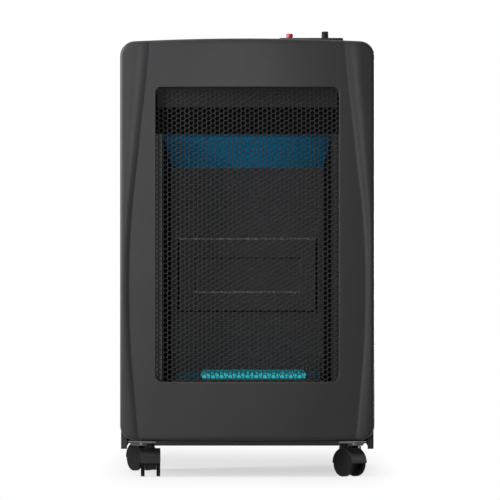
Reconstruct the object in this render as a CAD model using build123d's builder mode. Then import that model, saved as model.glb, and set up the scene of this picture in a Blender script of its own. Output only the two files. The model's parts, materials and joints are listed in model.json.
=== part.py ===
# Portable gas cabinet heater: a steel cabinet on four twin-wheel casters, with a moulded front
# panel, a wire guard over the firebox, a lift-off rear cover over the gas bottle bay, and a
# control deck with an igniter button and a push-and-turn tap knob.
#
# Millimetres. Origin on the floor under the middle of the cabinet, +Z up, the front faces -Y.
from build123d import *
import math
import os

os.makedirs("parts", exist_ok=True)

# ---- driving dimensions ------------------------------------------------------------------------
body_width = 421.2  # over the side panels
body_depth = 390.0  # front of the moulded panel to the skin of the louvres
panel_height = 668.8  # moulded front panel, bottom edge to the top of its crown
sheet = 1.2  # steel sheet of the cabinet and the firebox
seat_gap = 0.3  # clearance between a piece and its neighbour on another body
running_gap = 0.05  # radial clearance of shafts, bushes and buttons

# casters
wheel_radius = 22.5
wheel_width = 6.0
wheel_face = 1.8  # what is left of the wheel outside the end of its axle
hood_clearance = 0.5  # wheel to hood, all round
hood_wall = 1.8
web_half = 9.5  # half the web that stands between the two wheels
hub_radius = 11.25
caster_trail = 14.0  # stem axis to wheel axle
axle_radius = 2.5
stem_radius = 6.7
stem_height = 8.2  # top of the hood to the mounting plate
caster_plate_size = 44.0
caster_plate_thickness = 2.0
caster_plate_corner = 5.0
caster_bolt_inset = 6.0
front_caster_inset = 49.35  # stem to the side of the cabinet
rear_caster_inset = 37.0
caster_end_inset = 47.0  # stem to the front or the back of the cabinet
caster_headings = {  # degrees, the way each caster trails
    "front_left": -90.0,
    "front_right": -48.0,
    "rear_left": 123.0,
    "rear_right": 80.0,
}
rail_thickness = 1.5
rail_margin = 4.0  # rail beyond the mounting plate, front and back
rail_end_inset = 11.6
rail_leg = 7.4
rail_corner = 6.0

# fasteners
bolt_across_flats = 8.0
bolt_head_height = 3.0
panel_screw_radius = 3.2
panel_screw_rows = 3
panel_screw_margin = 60.0
shield_screw_rows = 4

# front panel
panel_wall = 2.0
panel_depth = 35.0
panel_base_gap = 0.5  # panel's lower edge above the base tray
panel_corner = 24.0
panel_overhang = 1.15  # front panel beyond the side panels
top_crown_drop = 5.6  # how far the crowned top edge falls at the sides
plan_crown_radius = 2000.0  # how the middle of the panel bows forward
wing_shoulder = 23.5  # where the wings end, behind the front
wing_overrun = 4.0  # the wings are drawn past the sides, and the outline cuts them
wing_bulge = 0.225  # rise of the wing's arc as a share of its chord
crease_stations = [  # height as a share of the panel's, crease to the side of the cabinet
    (-0.01, 30.6),
    (0.2125, 20.8),
    (0.461, 14.8),
    (0.717, 27.1),
    (1.01, 50.1),
]
window_side_margin = 57.85  # window's edge to the side of the cabinet
window_height = 489.0
window_above_edge = 98.9
window_corner_top = 9.0
window_corner_bottom = 12.0
lip_depth = 14.0  # front plane to the back of the window's turned-in lip

# guard
guard_thickness = 1.0
guard_border = 9.0
guard_pitch = 40.0
guard_strand = 5.0
guard_margin = 3.0

# side panels and top
side_flange = 10.0
side_hem = 6.0  # turned in along the foot, clear of the casters
rear_flange = 18.0
side_drop = 13.2  # side panels below the base tray
top_skirt = 37.0  # crown to the lower edge of the top panel
top_set_down = 0.5  # top panel below the front panel's crown
rear_inset = 8.0  # rear plane of the cabinet in front of the louvres

# base tray
tray_flange = 12.0
apron_inset = 58.6  # end of the front apron to the side of the cabinet
apron_drop = 7.1
apron_set_back = 17.0
tray_slot_length = 60.0
tray_slot_width = 6.0
tray_slot_count = 5
tray_slot_spacing = 72.0
tray_slot_margin = 14.6  # heat shield to the first row of slots
tray_slot_rear = 10.5  # rear row of slots to the tray's rear edge
seat_front = 23.3  # heat shield to the bottle seat
seat_rise = 1.5
seat_across = 252.0
seat_sides = 12

# firebox
firebox_set_back = 19.0  # front plane to the firebox's front flange
firebox_depth = 54.0
firebox_side_margin = 10.75  # window's edge to the front corner of the firebox
firebox_flare = 14.0  # how far each side closes in towards the back
firebox_flange = 18.0
shelf_drop = 19.6  # window's lower edge to the burner shelf
shelf_lip = 17.0
plate_gap = 0.5
emboss_margin = 12.0
emboss_height = 123.0
emboss_above_shelf = 133.0
emboss_depth = 5.0
emboss_draft = 20.0
recess_margin_x = 27.0
recess_margin_z = 32.5
deflector_drop = 77.9  # window's upper edge to the deflector's front edge
deflector_rise = 55.5
deflector_flange = 14.0
baffle_height = 33.0
baffle_margin = 2.75
shield_gap = 10.0
shield_rise = 2.1  # heat shield above the baffle
shield_flange = 12.0
shield_vent_width = 60.0
shield_vent_height = 12.0

# burner and gas parts
burner_end_margin = 4.0
burner_width = 22.0
burner_height = 15.0
burner_wall = 1.2
burner_lift = 4.8
burner_slot_count = 17
burner_slot_spacing = 13.5
burner_slot_width = 2.5
burner_slot_length = 14.0
venturi_radius = 6.5
venturi_reach = 23.0
bracket_width = 16.0
bracket_inset = 32.0
injector_radius = 6.0
injector_length = 10.0
injector_nose = 3.0
injector_nose_radius = 3.2
injector_gap = 3.0
feed_pipe_radius = 3.0
feed_pipe_inset = 26.8  # pipe to the inside of the side panel
pilot_pipe_radius = 2.0
pilot_pipe_inset = 16.8
pipe_bend = 12.0
pipe_flats = 8
pilot_set_back = 15.0  # pilot behind the burner's axis
pilot_inset = 17.0  # pilot to the end of the burner
pilot_rise = 28.0  # pilot's centre above the shelf
pilot_head_half = 5.0
probe_spacing = 13.0
probe_offset = 6.5
thermocouple_radius = 2.2
thermocouple_length = 29.0
electrode_radius = 3.0
electrode_length = 17.0
electrode_tip = 12.0
electrode_tip_radius = 1.0

# control deck
deck_side_inset = 48.1  # deck's edge to the side of the cabinet
deck_y = 70.0
deck_width = 108.5
deck_depth = 110.0
deck_corner = 6.0
deck_wall = 2.5
deck_rise = 7.0  # top of the deck above the crown
deck_edge = 1.5
deck_seat = 0.25
deck_overlap = 5.0
knob_inset = 30.5  # knob and igniter to the ends of the deck
igniter_inset = 18.0
knob_recess_gap = 3.0
knob_recess_depth = 9.0
igniter_barrel_radius = 8.0
igniter_flange_width = 2.5
igniter_flange_height = 1.5
igniter_barrel_length = 40.0
igniter_wall = 1.9
terminal_width = 6.0
terminal_length = 4.0
button_above_deck = 8.5
button_length = 15.0
button_travel = 5.0
nut_wall = 2.0
nut_height = 5.0

# knob and tap
knob_radius = 19.0
knob_skirt = 3.0
knob_skirt_lift = 4.5  # skirt above the floor of its recess
knob_grip_width = 11.5
knob_grip_length = 34.0
knob_grip_height = 13.5
knob_edge = 1.0
knob_travel = 3.0
washer_radius = 9.0
washer_thickness = 0.8
spindle_radius = 4.0
spindle_cover = 6.3  # top of the knob above the end of the spindle
spindle_in_tap = 13.0
spindle_hole_gap = 0.6
tap_width = 30.0
tap_depth = 36.0
tap_height = 26.0
tap_neck_radius = 9.0
tap_neck_height = 6.5
nozzle_radius = 4.5
nozzle_bore = 2.5
nozzle_length = 25.0
nozzle_collar_radius = 7.5
nozzle_collar = 5.0

# rear cover and crossbar
cover_sheet = 1.0
cover_side_inset = 6.0
cover_rise = 6.0  # cover above the side panels
cover_depth = 5.7
hem_inset = 89.0
hem_drop = 9.0
crossbar_height = 26.0
crossbar_flange = 12.0
crossbar_end_gap = 2.8
catch_margin = 5.0
catch_gap = 2.0  # hem above the ledge of the catch
catch_stand_off = 1.6
catch_height = 8.0
tab_inset = 54.0
tab_width = 30.0
tab_length = 10.2
tab_set_back = 0.7
tab_clearance = 0.5
louvre_columns = 2
louvre_rows = 4
louvre_length = 120.0
louvre_slot = 5.0
louvre_pitch = 14.0
louvre_column_gap = 30.0
louvre_proud = 2.0
louvre_foot_margin = 95.0  # cover's foot to the lowest louvre
louvre_head_margin = 62.8  # cover's top to the lowest louvre of the upper group

# ---- levels and planes worked out from them ----------------------------------------------------
front_y = -body_depth / 2
panel_back_y = front_y + panel_depth
lip_back_y = front_y + lip_depth
guard_back_y = lip_back_y + guard_thickness
firebox_front_y = front_y + firebox_set_back
firebox_back_y = firebox_front_y + firebox_depth
shield_y = firebox_back_y + shield_gap
burner_y = firebox_front_y + firebox_depth / 2
rear_y = body_depth / 2 - rear_inset
inner_half = body_width / 2 - sheet

hood_inner = wheel_radius + hood_clearance
hood_outer = hood_inner + hood_wall
wheel_outer = web_half + hood_clearance + wheel_width
hood_half = wheel_outer + hood_clearance / 2
axle_half = wheel_outer - wheel_face
caster_plate_z = wheel_radius + hood_outer + stem_height
caster_height = caster_plate_z + caster_plate_thickness

base_z = caster_height + rail_thickness
base_top = base_z + sheet
panel_bottom = base_top + panel_base_gap
crown_z = panel_bottom + panel_height
side_bottom = base_z - side_drop
side_top = crown_z - top_skirt
window_bottom = panel_bottom + window_above_edge
window_top = window_bottom + window_height
window_z = (window_bottom + window_top) / 2
shelf_z = window_bottom - shelf_drop
shelf_top = shelf_z + sheet
firebox_top = window_top - deflector_drop
back_panel_top = firebox_top - deflector_rise
baffle_top = window_top - plate_gap
shield_top = baffle_top + shield_rise
deck_top = crown_z + deck_rise
recess_floor = deck_top - knob_recess_depth
skirt_z = recess_floor + knob_skirt_lift
knob_top = skirt_z + knob_skirt + knob_grip_height
cover_foot = base_top
cover_top = side_top + cover_rise

window_width = body_width - 2 * window_side_margin
firebox_front_half = window_width / 2 - firebox_side_margin
firebox_back_half = firebox_front_half - firebox_flare
baffle_half = window_width / 2 - baffle_margin
burner_half = firebox_back_half - burner_end_margin
pilot_x = burner_half - pilot_inset
deck_x = body_width / 2 - deck_side_inset - deck_width / 2
knob_x = deck_x + deck_width / 2 - knob_inset
igniter_x = deck_x - deck_width / 2 + igniter_inset
cover_half = body_width / 2 - cover_side_inset
hem_half = cover_half - hem_inset
tab_x = cover_half - tab_inset


# ---- helpers -----------------------------------------------------------------------------------
def save(builder, name):
    """Label a finished piece and write it to its own file."""
    builder.part.label = name
    export_step(builder.part, f"parts/{name}.step")


def cabinet_outline(top, bottom, bottom_corner, inset=0.0):
    """Front outline of the cabinet: crowned top edge, rounded corners. X is across, Y is up."""
    half = body_width / 2 - inset
    shoulder = top - top_crown_drop
    with BuildSketch() as outline:
        with BuildLine():
            ThreePointArc((-half, shoulder), (0, top), (half, shoulder))
            Polyline((half, shoulder), (half, bottom), (-half, bottom), (-half, shoulder))
        make_face()
        corners = outline.vertices().group_by(Axis.Y)
        fillet(corners[-1], panel_corner - inset)
        if bottom_corner:
            fillet(outline.vertices().group_by(Axis.Y)[0], panel_corner - inset)
    return outline.sketch


def panel_plan(crease_inset, back, inset=0.0):
    """Plan of the moulded front at one height: bowed middle, a crease each side, pillowed wings."""
    half = body_width / 2 + wing_overrun - inset
    crease = body_width / 2 - crease_inset
    nose = front_y + inset
    crease_y = nose + crease**2 / (2 * plan_crown_radius)
    shoulder_y = front_y + wing_shoulder + inset
    across = half - crease
    back_by = shoulder_y - crease_y
    wing_x = (half + crease) / 2 + wing_bulge * back_by
    wing_y = (shoulder_y + crease_y) / 2 - wing_bulge * across
    with BuildSketch() as plan:
        with BuildLine():
            Line((-half, back), (-half, shoulder_y))
            ThreePointArc((-half, shoulder_y), (-wing_x, wing_y), (-crease, crease_y))
            ThreePointArc((-crease, crease_y), (0, nose), (crease, crease_y))
            ThreePointArc((crease, crease_y), (wing_x, wing_y), (half, shoulder_y))
            Polyline((half, shoulder_y), (half, back), (-half, back))
        make_face()
    return plan.sketch


def window_outline(grow=0.0):
    """The window of the front panel, with a larger radius at its lower corners."""
    with BuildSketch() as window:
        with Locations((0, window_z)):
            Rectangle(window_width + 2 * grow, window_height + 2 * grow)
        fillet(window.vertices().group_by(Axis.Y)[-1], window_corner_top + grow)
        fillet(window.vertices().group_by(Axis.Y)[0], window_corner_bottom + grow)
    return window.sketch


def bent_pipe(points, radius):
    """Pipe along straight runs joined by bends of one radius, its section drawn with flats."""
    with BuildPart() as pipe:
        with BuildLine() as route:
            FilletPolyline(*points, radius=pipe_bend)
        for run in route.edges():
            with BuildSketch(Plane(run @ 0, z_dir=run % 0)):
                RegularPolygon(radius, pipe_flats)
            if run.geom_type == GeomType.LINE:
                extrude(amount=run.length)
            else:
                bend_axis = Axis(run.arc_center, (run % 0).cross(run % 1))
                revolve(axis=bend_axis, revolution_arc=(run % 0).get_angle(run % 1))
    return pipe.part


def plane_at_y(y):
    """Upright plane at one depth, looking out of the front: X across, Y up."""
    return Plane.XZ.offset(-y)


# ---- front panel -------------------------------------------------------------------------------
with BuildPart() as panel_form:
    for share, crease_inset in crease_stations:
        with BuildSketch(Plane.XY.offset(panel_bottom + share * panel_height)):
            add(panel_plan(crease_inset, panel_back_y + panel_wall))
    loft()
    with BuildSketch(plane_at_y(panel_back_y)):
        add(cabinet_outline(crown_z, panel_bottom, True, -panel_overhang))
    extrude(amount=panel_depth + panel_wall, mode=Mode.INTERSECT)

with BuildPart() as panel_cavity:
    for share, crease_inset in crease_stations:
        with BuildSketch(Plane.XY.offset(panel_bottom + share * panel_height)):
            add(panel_plan(crease_inset, panel_back_y + 2 * panel_wall, panel_wall))
    loft()
    with BuildSketch(plane_at_y(panel_back_y + panel_wall)):
        inner = panel_wall - panel_overhang
        add(cabinet_outline(crown_z - panel_wall, panel_bottom + panel_wall, True, inner))
    extrude(amount=panel_depth + panel_wall, mode=Mode.INTERSECT)
    with BuildSketch(plane_at_y(lip_back_y)):
        add(window_outline(panel_wall))
    extrude(amount=lip_depth + panel_wall, mode=Mode.SUBTRACT)

with BuildPart() as front_panel:
    add(panel_form.part)
    add(panel_cavity.part, mode=Mode.SUBTRACT)
    with BuildSketch(plane_at_y(panel_back_y)):
        add(window_outline())
    extrude(amount=panel_depth + panel_wall, mode=Mode.SUBTRACT)
save(front_panel, "front_panel")

# ---- guard: one flat sheet with a staggered field of hexagonal holes ----------------------------
guard_columns = int((window_width - 2 * guard_margin) / (guard_pitch * math.sqrt(3) / 2))
guard_rows = int((window_height - 2 * guard_margin) / guard_pitch - 0.5)
with BuildPart() as front_guard:
    with BuildSketch(plane_at_y(guard_back_y)):
        add(window_outline(guard_border))
        with Locations((0, window_z)):
            with HexLocations(guard_pitch / 2, guard_columns, guard_rows):
                RegularPolygon((guard_pitch - guard_strand) / math.sqrt(3), 6, mode=Mode.SUBTRACT)
    extrude(amount=guard_thickness)
save(front_guard, "front_guard")

# ---- side panels -------------------------------------------------------------------------------
with BuildPart() as side_panel_right:
    outer_half = body_width / 2
    with BuildSketch(Plane.XY.offset(side_bottom)):
        with BuildLine():
            Polyline(
                (outer_half - side_flange, panel_back_y),
                (outer_half, panel_back_y),
                (outer_half, rear_y),
                (inner_half - rear_flange, rear_y),
                (inner_half - rear_flange, rear_y - sheet),
                (inner_half, rear_y - sheet),
                (inner_half, panel_back_y + sheet),
                (outer_half - side_flange, panel_back_y + sheet),
                close=True,
            )
        make_face()
    extrude(amount=side_top - side_bottom)
    with BuildSketch(Plane.XY.offset(side_bottom)):
        with Locations((inner_half - side_hem / 2, (panel_back_y + rear_y) / 2)):
            Rectangle(side_hem, rear_y - panel_back_y - 2 * sheet)
    extrude(amount=sheet)
save(side_panel_right, "side_panel_right")

with BuildPart() as side_panel_left:
    add(side_panel_right.part.mirror(Plane.YZ))
save(side_panel_left, "side_panel_left")

# ---- top panel: crowned lid with a cut-out for the control deck ----------------------------------
top_outer_z = crown_z - top_set_down
top_length = rear_y - panel_back_y
with BuildPart() as top_panel:
    with BuildSketch(plane_at_y(rear_y)):
        add(cabinet_outline(top_outer_z, side_top, False))
    extrude(amount=top_length)
    with BuildSketch(plane_at_y(rear_y - sheet)):
        add(cabinet_outline(top_outer_z - sheet, side_top - sheet, False, sheet))
    extrude(amount=top_length - 2 * sheet, mode=Mode.SUBTRACT)
    with BuildSketch(Plane.XY.offset(side_top + sheet)):
        with Locations((deck_x, deck_y)):
            Rectangle(deck_width - 2 * deck_overlap, deck_depth - 2 * deck_overlap)
    extrude(amount=top_skirt, mode=Mode.SUBTRACT)
save(top_panel, "top_panel")

# ---- control deck: raised tray with a dish for the knob -------------------------------------------
with BuildPart() as crown_form:
    with BuildSketch(plane_at_y(rear_y)):
        add(cabinet_outline(top_outer_z + deck_seat, side_top, False))
    extrude(amount=top_length)

knob_recess_radius = knob_radius + knob_recess_gap
igniter_flange_radius = igniter_barrel_radius + igniter_flange_width
with BuildPart() as control_deck:
    with BuildSketch(Plane.XY.offset(side_top)):
        with Locations((deck_x, deck_y)):
            RectangleRounded(deck_width, deck_depth, deck_corner)
    extrude(amount=deck_top - side_top)
    chamfer(control_deck.faces().sort_by(Axis.Z)[-1].edges(), deck_edge)
    with BuildSketch(Plane.XY.offset(side_top)):
        with Locations((deck_x, deck_y)):
            Rectangle(deck_width - 2 * deck_wall, deck_depth - 2 * deck_wall)
    extrude(amount=deck_top - deck_wall - side_top, mode=Mode.SUBTRACT)
    add(crown_form.part, mode=Mode.SUBTRACT)
    with BuildSketch(Plane.XY.offset(recess_floor - deck_wall)):
        with Locations((knob_x, deck_y)):
            Rectangle(2 * (knob_recess_radius + deck_wall), 2 * (knob_recess_radius + deck_wall))
    extrude(amount=knob_recess_depth)
    with BuildSketch(Plane.XY.offset(recess_floor)):
        with Locations((knob_x, deck_y)):
            Circle(knob_recess_radius)
    extrude(amount=knob_recess_depth, mode=Mode.SUBTRACT)
    with Locations((knob_x, deck_y, recess_floor)):
        Hole(spindle_radius + spindle_hole_gap, depth=deck_wall)
    with Locations((igniter_x, deck_y, deck_top)):
        CounterBoreHole(
            igniter_barrel_radius + running_gap,
            igniter_flange_radius + running_gap,
            igniter_flange_height,
            depth=deck_wall,
        )
save(control_deck, "control_deck")

# ---- base tray -----------------------------------------------------------------------------------
tray_rear_y = rear_y - sheet - seat_gap
cover_y = rear_y + seat_gap
cover_skin_y = cover_y + cover_depth
tab_y = cover_y + tab_set_back
apron_y = front_y + apron_set_back
tray_front_y = panel_back_y + sheet
apron_half = body_width / 2 - apron_inset
slot_row_y = (shield_y + sheet + tray_slot_margin, tray_rear_y - tray_slot_rear)
seat_y = shield_y + sheet + seat_front + seat_across / 2
seat_facet = 1 / math.cos(math.pi / seat_sides)
with BuildPart() as base_plate:
    with BuildSketch(Plane.XY.offset(base_z)):
        with Locations((0, (tray_front_y + tray_rear_y) / 2)):
            Rectangle(2 * inner_half, tray_rear_y - tray_front_y)
        with Locations((0, (tray_rear_y + cover_skin_y) / 2)):
            Rectangle(2 * (inner_half - rear_flange - seat_gap), cover_skin_y - tray_rear_y)
        with Locations((0, (apron_y + tray_front_y) / 2)):
            Rectangle(2 * apron_half, tray_front_y - apron_y)
    extrude(amount=sheet)
    with BuildSketch(Plane.XY.offset(base_top)):
        for side in (-1, 1):
            with Locations((side * (inner_half - sheet / 2), (tray_front_y + tray_rear_y) / 2)):
                Rectangle(sheet, tray_rear_y - tray_front_y)
    extrude(amount=tray_flange)
    with BuildSketch(Plane.XY.offset(base_z)):
        with Locations((0, apron_y + sheet / 2)):
            Rectangle(2 * apron_half, sheet)
    extrude(amount=-apron_drop)
    with BuildSketch(Plane.XY.offset(base_z)):
        for row_y in slot_row_y:
            with Locations((0, row_y)):
                with GridLocations(tray_slot_spacing, tray_slot_spacing, tray_slot_count, 1):
                    Rectangle(tray_slot_length, tray_slot_width)
        for side in (-1, 1):
            with Locations((side * tab_x, tab_y + cover_sheet / 2)):
                Rectangle(tab_width + 2 * tab_clearance, cover_sheet + 2 * tab_clearance)
    extrude(amount=sheet, mode=Mode.SUBTRACT)
    with BuildSketch(Plane.XY.offset(base_top)):
        with Locations((0, seat_y)):
            RegularPolygon(seat_across / 2 * seat_facet, seat_sides, rotation=180 / seat_sides)
    extrude(amount=seat_rise)
    with BuildSketch(Plane.XY.offset(base_z)):
        with Locations((0, seat_y)):
            RegularPolygon((seat_across / 2 - sheet) * seat_facet, seat_sides, rotation=180 / seat_sides)
    extrude(amount=seat_rise, mode=Mode.SUBTRACT)
save(base_plate, "base_plate")

# ---- heat shield between the firebox and the bottle bay --------------------------------------------
shield_half = inner_half - sheet - seat_gap
with BuildPart() as heat_shield:
    with BuildSketch(Plane.XY.offset(base_top)):
        with Locations((0, shield_y + sheet / 2)):
            Rectangle(2 * shield_half, sheet)
        for side in (-1, 1):
            flange_x = side * (shield_half - sheet / 2)
            with Locations((flange_x, shield_y + sheet - shield_flange / 2)):
                Rectangle(sheet, shield_flange)
    extrude(amount=shield_top - base_top)
    with BuildSketch(plane_at_y(shield_y + sheet)):
        with Locations((0, base_top + 2 * shield_vent_height)):
            with GridLocations(tray_slot_spacing, 2 * shield_vent_height, tray_slot_count, 1):
                Rectangle(shield_vent_width, shield_vent_height)
    extrude(amount=sheet, mode=Mode.SUBTRACT)
save(heat_shield, "heat_shield")

# ---- firebox ---------------------------------------------------------------------------------------
pilot_pipe_y = burner_y + pilot_set_back
notch_rear_y = pilot_pipe_y + 2 * pilot_pipe_radius
notch_front_y = firebox_front_y + firebox_flange / 2
notch_top = shelf_top + pilot_rise + 3 * pilot_pipe_radius
with BuildPart() as firebox_side_right:
    with BuildSketch(Plane.XY.offset(shelf_top)):
        with BuildLine():
            Polyline(
                (firebox_front_half, firebox_front_y),
                (firebox_front_half + firebox_flange, firebox_front_y),
                (firebox_front_half + firebox_flange, firebox_front_y - sheet),
                (firebox_front_half, firebox_front_y - sheet),
                close=True,
            )
        make_face()
        with BuildLine():
            Polyline(
                (firebox_front_half, firebox_front_y - sheet),
                (firebox_back_half, firebox_back_y),
                (firebox_back_half, shield_y),
                (firebox_back_half + firebox_flange, shield_y),
                (firebox_back_half + firebox_flange, shield_y - sheet),
                (firebox_back_half + sheet, shield_y - sheet),
                (firebox_back_half + sheet, firebox_back_y),
                (firebox_front_half + sheet, firebox_front_y - sheet),
                close=True,
            )
        make_face()
    extrude(amount=firebox_top - shelf_top)
    with BuildSketch(Plane.YZ.offset(firebox_back_half)):
        with Locations(((notch_rear_y + notch_front_y) / 2, (shelf_top + notch_top) / 2)):
            Rectangle(notch_rear_y - notch_front_y, notch_top - shelf_top)
    extrude(amount=firebox_front_half - firebox_back_half + sheet, mode=Mode.SUBTRACT)
save(firebox_side_right, "firebox_side_right")

with BuildPart() as firebox_side_left:
    add(firebox_side_right.part.mirror(Plane.YZ))
save(firebox_side_left, "firebox_side_left")

emboss_z = shelf_top + emboss_above_shelf + emboss_height / 2
emboss_width = 2 * (firebox_back_half - emboss_margin)
recess_width = emboss_width - 2 * recess_margin_x
recess_height = emboss_height - 2 * recess_margin_z
with BuildPart() as firebox_back:
    with BuildSketch(plane_at_y(firebox_back_y + sheet)):
        with Locations((0, (shelf_top + back_panel_top) / 2)):
            Rectangle(2 * (firebox_back_half - plate_gap), back_panel_top - shelf_top)
    extrude(amount=sheet)
    with BuildSketch(plane_at_y(firebox_back_y)):
        with Locations((0, emboss_z)):
            Rectangle(emboss_width, emboss_height)
    extrude(amount=emboss_depth, taper=emboss_draft)
    with BuildSketch(plane_at_y(firebox_back_y + sheet)):
        with Locations((0, emboss_z)):
            Rectangle(emboss_width - 2 * sheet, emboss_height - 2 * sheet)
    extrude(amount=emboss_depth, taper=emboss_draft, mode=Mode.SUBTRACT)
    with BuildSketch(plane_at_y(firebox_back_y)):
        with Locations((0, emboss_z)):
            Rectangle(recess_width + 2 * sheet, recess_height + 2 * sheet)
    extrude(amount=emboss_depth)
    with BuildSketch(plane_at_y(firebox_back_y - emboss_depth)):
        with Locations((0, emboss_z)):
            Rectangle(recess_width, recess_height)
    extrude(amount=-(emboss_depth - sheet), taper=emboss_draft, mode=Mode.SUBTRACT)
save(firebox_back, "firebox_back")

# sloped roof of the firebox, hooked over the back panel's top edge
deflector_front_y = firebox_front_y + plate_gap
deflector_edge = 1.5 * sheet  # upright face of the front edge, cut from the slope
with BuildPart() as heat_deflector:
    with BuildSketch(Plane.YZ.offset(-firebox_front_half)):
        with BuildLine():
            Polyline(
                (firebox_back_y + sheet, back_panel_top - deflector_flange),
                (firebox_back_y + 2 * sheet, back_panel_top - deflector_flange),
                (firebox_back_y + 2 * sheet, back_panel_top + 2 * sheet),
                (deflector_front_y, firebox_top),
                (deflector_front_y, firebox_top - deflector_edge),
                (firebox_back_y + sheet, back_panel_top),
                close=True,
            )
        make_face()
    extrude(amount=2 * firebox_front_half)
    front_half = firebox_front_half - 2 * plate_gap
    back_half = firebox_back_half - 2 * plate_gap
    with BuildSketch(Plane.XY.offset(back_panel_top - deflector_flange)):
        with BuildLine():
            Polyline(
                (-front_half, firebox_front_y),
                (front_half, firebox_front_y),
                (back_half, firebox_back_y),
                (back_half, shield_y),
                (-back_half, shield_y),
                (-back_half, firebox_back_y),
                close=True,
            )
        make_face()
    extrude(amount=deflector_flange + deflector_rise, mode=Mode.INTERSECT)
save(heat_deflector, "heat_deflector")

with BuildPart() as upper_baffle:
    with BuildSketch(Plane.YZ.offset(-baffle_half)):
        with BuildLine():
            Polyline(
                (firebox_front_y - sheet, baffle_top - baffle_height),
                (firebox_front_y, baffle_top - baffle_height),
                (firebox_front_y, baffle_top - sheet),
                (shield_y, baffle_top - sheet),
                (shield_y, baffle_top),
                (firebox_front_y - sheet, baffle_top),
                close=True,
            )
        make_face()
    extrude(amount=2 * baffle_half)
save(upper_baffle, "upper_baffle")

with BuildPart() as burner_shelf:
    with BuildSketch(Plane.XY.offset(shelf_z)):
        with Locations((0, (firebox_front_y - sheet + shield_y) / 2)):
            Rectangle(2 * (firebox_front_half + firebox_flange), shield_y - firebox_front_y + sheet)
    extrude(amount=sheet)
    with BuildSketch(Plane.XY.offset(shelf_top)):
        with Locations((0, firebox_front_y - sheet / 2)):
            Rectangle(2 * (firebox_front_half - plate_gap), sheet)
    extrude(amount=shelf_lip)
    with BuildSketch(Plane.XY.offset(shelf_z)):
        with Locations((0, shield_y - sheet / 2)):
            Rectangle(2 * firebox_front_half, sheet)
    extrude(amount=-tray_flange)
save(burner_shelf, "burner_shelf")

# ---- burner --------------------------------------------------------------------------------------
burner_z = shelf_top + burner_lift
burner_axis_z = burner_z + burner_height / 2
venturi_end = burner_half + venturi_reach
with BuildPart() as burner_tube:
    with Locations((0, burner_y, burner_axis_z)):
        Box(2 * burner_half, burner_width, burner_height)
    with BuildSketch(Plane.YZ.offset(burner_half)):
        with Locations((burner_y, burner_axis_z)):
            Circle(venturi_radius + burner_wall)
    extrude(amount=venturi_reach)
    with Locations((0, burner_y, burner_axis_z)):
        Box(
            2 * (burner_half - burner_wall),
            burner_width - 2 * burner_wall,
            burner_height - 2 * burner_wall,
            mode=Mode.SUBTRACT,
        )
    with BuildSketch(Plane.YZ.offset(venturi_end)):
        with Locations((burner_y, burner_axis_z)):
            Circle(venturi_radius)
    extrude(amount=-(venturi_reach + burner_wall), mode=Mode.SUBTRACT)
    with BuildSketch(Plane.XY.offset(burner_z + burner_height)):
        with Locations((0, burner_y)):
            with GridLocations(burner_slot_spacing, burner_slot_spacing, burner_slot_count, 1):
                Rectangle(burner_slot_width, burner_slot_length)
    extrude(amount=-burner_wall, mode=Mode.SUBTRACT)
save(burner_tube, "burner_tube")

bracket_x = burner_half - bracket_inset
with BuildPart() as burner_brackets:
    for side in (-1, 1):
        with BuildSketch(Plane.YZ.offset(side * bracket_x - bracket_width / 2)):
            with BuildLine():
                Polyline(
                    (burner_y - burner_width / 2, shelf_top),
                    (burner_y + burner_width / 2, shelf_top),
                    (burner_y + burner_width / 2, shelf_top + sheet),
                    (burner_y - burner_width / 2 + sheet, shelf_top + sheet),
                    (burner_y - burner_width / 2 + sheet, burner_z - sheet),
                    (burner_y + burner_width / 2, burner_z - sheet),
                    (burner_y + burner_width / 2, burner_z),
                    (burner_y - burner_width / 2, burner_z),
                    close=True,
                )
            make_face()
        extrude(amount=bracket_width)
save(burner_brackets, "burner_brackets")

injector_x = venturi_end + injector_gap
with BuildPart() as gas_injector:
    with BuildSketch(Plane.YZ.offset(injector_x)):
        with Locations((burner_y, burner_axis_z)):
            Circle(injector_nose_radius)
    extrude(amount=injector_nose)
    with BuildSketch(Plane.YZ.offset(injector_x + injector_nose)):
        with Locations((burner_y, burner_axis_z)):
            RegularPolygon(injector_radius, 6)
    extrude(amount=injector_length)
save(gas_injector, "gas_injector")

# ---- tap, spindle and hose nozzle ----------------------------------------------------------------
tap_top = recess_floor - deck_wall - tap_neck_height
tap_z = tap_top - tap_height / 2
spindle_bottom = tap_top - spindle_in_tap
spindle_top = knob_top - spindle_cover
with BuildPart() as gas_tap_body:
    with Locations((knob_x, deck_y, tap_z)):
        Box(tap_width, tap_depth, tap_height)
    with BuildSketch(Plane.XY.offset(tap_top)):
        with Locations((knob_x, deck_y)):
            RegularPolygon(tap_neck_radius, 6)
    extrude(amount=tap_neck_height)
    with Locations((knob_x, deck_y, tap_top + tap_neck_height)):
        Hole(
            spindle_radius + running_gap,
            depth=tap_top + tap_neck_height - spindle_bottom + knob_travel + seat_gap,
        )
save(gas_tap_body, "gas_tap_body")

with BuildPart() as tap_spindle:
    with BuildSketch(Plane.XY.offset(spindle_bottom)):
        with Locations((knob_x, deck_y)):
            Circle(spindle_radius)
    extrude(amount=spindle_top - spindle_bottom)
save(tap_spindle, "tap_spindle")

nozzle_y = deck_y + tap_depth / 2
with BuildPart() as hose_nozzle:
    with BuildSketch(plane_at_y(nozzle_y)):
        with Locations((knob_x, tap_z)):
            RegularPolygon(nozzle_collar_radius, 6)
    extrude(amount=-nozzle_collar)
    with BuildSketch(plane_at_y(nozzle_y + nozzle_collar)):
        with Locations((knob_x, tap_z)):
            Circle(nozzle_radius)
    extrude(amount=-nozzle_length)
    with BuildSketch(plane_at_y(nozzle_y)):
        with Locations((knob_x, tap_z)):
            Circle(nozzle_bore)
    extrude(amount=-(nozzle_collar + nozzle_length), mode=Mode.SUBTRACT)
save(hose_nozzle, "hose_nozzle")

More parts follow.
